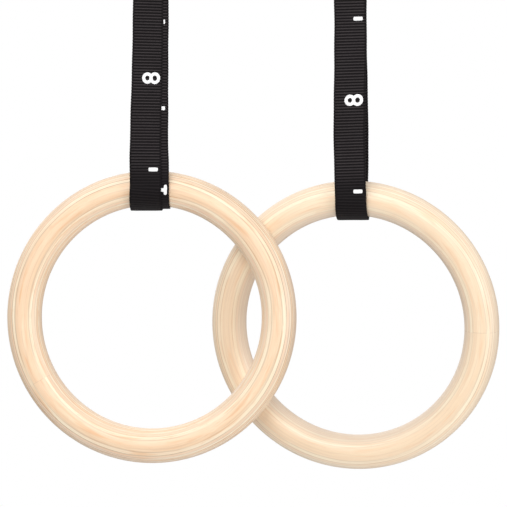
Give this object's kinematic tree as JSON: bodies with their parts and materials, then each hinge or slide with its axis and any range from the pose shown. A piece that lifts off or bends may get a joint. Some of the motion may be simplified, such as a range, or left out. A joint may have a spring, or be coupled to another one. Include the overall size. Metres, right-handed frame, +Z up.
{
  "type": "gymnastics rings",
  "caption": "Pair of round wooden hand rings hung on doubled numbered webbing straps with cam buckles, to loop over a horizontal bar.",
  "frame": {"origin": "centre of the left strap's loop, on the axis of the bar that both straps hang from", "axes": "+X along the bar towards the right ring, +Y to the back, where the buckles are, +Z up"},
  "size_m": [0.3975, 0.078, 0.567],
  "materials": {
    "birch": "satin varnish",
    "webbing": "woven, matte",
    "thread": "matte",
    "keeper_elastic": "ribbed elastic, matte",
    "buckle_steel": "zinc plated, satin",
    "cam_metal": "die cast, tumbled satin",
    "spring_steel": "drawn wire, satin"
  },
  "bodies": {
    "left_strap_top": {"left_strap_sewn_run": "webbing", "left_strap_adjusted_run": "webbing", "left_strap_tail": "webbing", "left_sewn_end_stitching": "thread", "left_hem_stitching": "thread", "left_keeper_band": "keeper_elastic", "left_buckle_frame": "buckle_steel", "left_buckle_strap_bar": "buckle_steel", "left_buckle_cam_pin": "buckle_steel", "left_buckle_cam_spring": "spring_steel"},
    "left_strap_foot": {"left_strap_inner_turn": "webbing", "left_strap_outer_turn": "webbing"},
    "left_hand_ring": {"left_ring": "birch"},
    "left_cam": {"left_buckle_cam_lever": "cam_metal"},
    "right_strap_top": {"right_strap_sewn_run": "webbing", "right_strap_adjusted_run": "webbing", "right_strap_tail": "webbing", "right_sewn_end_stitching": "thread", "right_hem_stitching": "thread", "right_keeper_band": "keeper_elastic", "right_buckle_frame": "buckle_steel", "right_buckle_strap_bar": "buckle_steel", "right_buckle_cam_pin": "buckle_steel", "right_buckle_cam_spring": "spring_steel"},
    "right_strap_foot": {"right_strap_inner_turn": "webbing", "right_strap_outer_turn": "webbing"},
    "right_hand_ring": {"right_ring": "birch"},
    "right_cam": {"right_buckle_cam_lever": "cam_metal"}
  },
  "joints": [
    {"name": "right_spacing", "type": "slide", "parent": "left_strap_top", "child": "right_strap_top", "axis": [1, 0, 0], "range_m": [0, 0.338]},
    {"name": "left_turnout", "type": "hinge", "parent": "left_strap_top", "child": "left_strap_foot", "pos_m": [0, 0, -0.245], "axis": [0, 0, 1], "range_deg": [-78, 0], "stiffness_Nm_per_rad": 0.003, "springref_deg": 7},
    {"name": "left_tilt", "type": "hinge", "parent": "left_strap_foot", "child": "left_hand_ring", "pos_m": [0, 0, -0.32], "axis": [0.9925, -0.1219, 0], "range_deg": [-85, 0]},
    {"name": "left_cam_release", "type": "hinge", "parent": "left_strap_top", "child": "left_cam", "pos_m": [0, 0.02375, -0.09], "axis": [-1, 0, 0], "range_deg": [0, 32], "stiffness_Nm_per_rad": 0.06, "springref_deg": -28.65, "deforming": ["left_buckle_cam_spring"]},
    {"name": "right_turnout", "type": "hinge", "parent": "right_strap_top", "child": "right_strap_foot", "pos_m": [0.162, 0, -0.253], "axis": [0, 0, 1], "range_deg": [-73, 0], "stiffness_Nm_per_rad": 0.003, "springref_deg": 12},
    {"name": "right_tilt", "type": "hinge", "parent": "right_strap_foot", "child": "right_hand_ring", "pos_m": [0.162, 0, -0.328], "axis": [0.9781, -0.2079, 0], "range_deg": [0, 78]},
    {"name": "right_cam_release", "type": "hinge", "parent": "right_strap_top", "child": "right_cam", "pos_m": [0.162, 0.02375, -0.09], "axis": [-1, 0, 0], "range_deg": [0, 32], "stiffness_Nm_per_rad": 0.06, "springref_deg": -28.65, "deforming": ["right_buckle_cam_spring"]}
  ]
}
